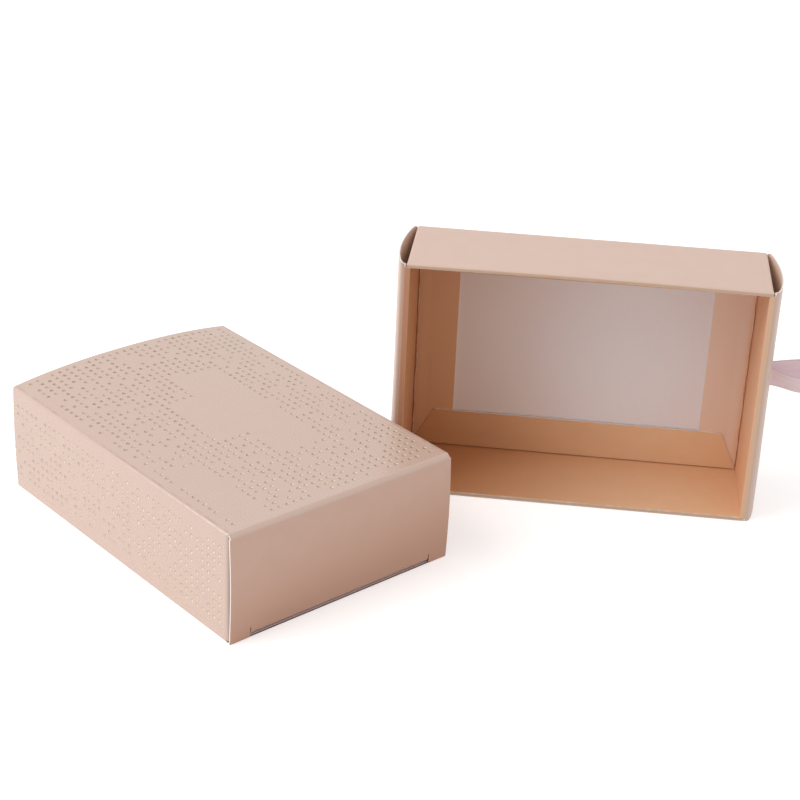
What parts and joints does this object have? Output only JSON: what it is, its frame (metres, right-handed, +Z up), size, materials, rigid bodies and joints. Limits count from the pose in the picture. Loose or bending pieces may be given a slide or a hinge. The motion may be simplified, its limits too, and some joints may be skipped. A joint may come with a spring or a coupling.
{
  "type": "folding card drawer gift box",
  "caption": "Folding card gift box: a flat sleeve with a tucked end flap and a double-walled tray with a satin ribbon pull, stood on its side.",
  "frame": {"origin": "middle of the sleeve's underside, on the surface that both halves rest on", "axes": "+X along the tray towards its ribbon, +Y away from the tray's open side, +Z up; the sleeve is turned 47 degrees about +Z"},
  "size_m": [0.348, 0.1798, 0.1034],
  "materials": {
    "printed_card": "pale pink-tan printed and matt-coated side of solid bleached board, with gold foil dots on the sleeve",
    "tray_lining": "printed side of the same board, turned into the tray",
    "card_back": "bare white back of the board",
    "satin_ribbon": "pale pink satin ribbon with a soft sheen"
  },
  "bodies": {
    "sleeve": {"sleeve_top": "printed_card", "sleeve_bottom": "printed_card", "sleeve_left_side": "printed_card", "sleeve_right_side": "printed_card", "sleeve_glue_flap": "card_back"},
    "end_closure": {"end_flap": "printed_card", "tuck_tab": "printed_card"},
    "left_dust_flap": {"dust_flap_left": "card_back"},
    "right_dust_flap": {"dust_flap_right": "card_back"},
    "tray": {"tray_floor": "card_back", "lower_wall_outer": "printed_card", "lower_wall_rim": "printed_card", "lower_wall_inner": "tray_lining", "lower_floor_flap": "tray_lining", "upper_wall_outer": "printed_card", "upper_wall_rim": "printed_card", "upper_wall_inner": "tray_lining", "upper_floor_flap": "tray_lining", "left_end_outer": "printed_card", "left_end_rim": "printed_card", "left_end_inner": "tray_lining", "left_floor_flap": "tray_lining", "right_end_outer": "printed_card", "right_end_rim": "printed_card", "right_end_inner": "tray_lining", "right_floor_flap": "tray_lining", "lower_left_corner_tab": "card_back", "upper_left_corner_tab": "card_back", "lower_right_corner_tab": "card_back", "upper_right_corner_tab": "card_back", "ribbon_tails": "satin_ribbon"},
    "ribbon": {"ribbon_loop": "satin_ribbon"}
  },
  "joints": [
    {"name": "end_flap_hinge", "type": "hinge", "parent": "sleeve", "child": "end_closure", "pos_m": [0.05485, -0.05115, 0.0454], "axis": [-0.682, -0.7314, 0], "range_deg": [0, 150]},
    {"name": "left_dust_flap_hinge", "type": "hinge", "parent": "sleeve", "child": "left_dust_flap", "pos_m": [0.01822, -0.08823, 0.025], "axis": [0, 0, 1], "range_deg": [0, 80]},
    {"name": "right_dust_flap_hinge", "type": "hinge", "parent": "sleeve", "child": "right_dust_flap", "pos_m": [0.08929, -0.01202, 0.025], "axis": [0, 0, -1], "range_deg": [0, 80]},
    {"name": "tray_slide", "type": "slide", "parent": "sleeve", "child": "tray", "axis": [1, 0, 0], "range_m": [0, 0.145]},
    {"name": "ribbon_swing", "type": "hinge", "parent": "tray", "child": "ribbon", "pos_m": [0.215, 0.07468, 0.0517], "axis": [0, 0, 1], "range_deg": [-50, 70]}
  ]
}
